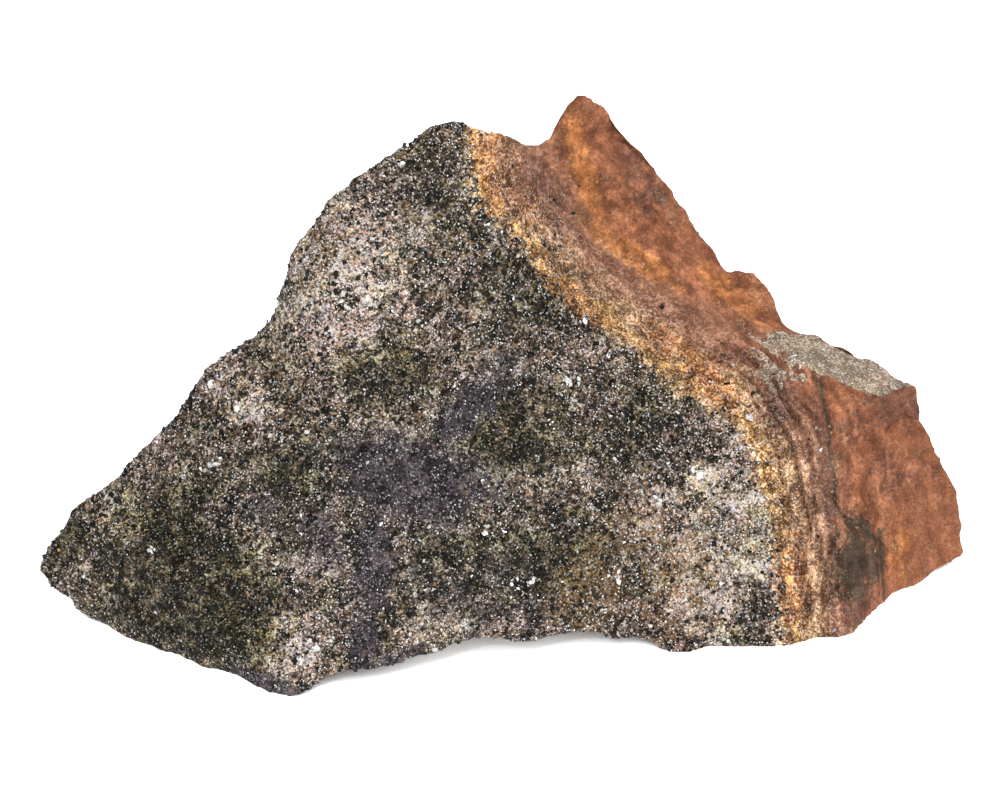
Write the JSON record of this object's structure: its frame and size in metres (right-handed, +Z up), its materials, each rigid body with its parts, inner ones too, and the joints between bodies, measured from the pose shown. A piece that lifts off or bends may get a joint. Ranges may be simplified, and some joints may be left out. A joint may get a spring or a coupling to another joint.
{
  "type": "hornfels hand specimen",
  "caption": "Wedge of dark granular hornfels with a broken face that leans back, a notched top with a fin behind it, and a stepped block at one end.",
  "frame": {"origin": "bottom centre of the stone's bounding box, on the surface it rests on", "axes": "+X along the stone from its low pointed end to its stepped end, +Y from the broken face to the back, +Z up"},
  "size_m": [0.0964, 0.0492, 0.0486],
  "materials": {
    "hornfels": "rough granular break with a rusty weathered rind"
  },
  "bodies": {
    "root": {"hornfels": "hornfels"}
  },
  "joints": []
}
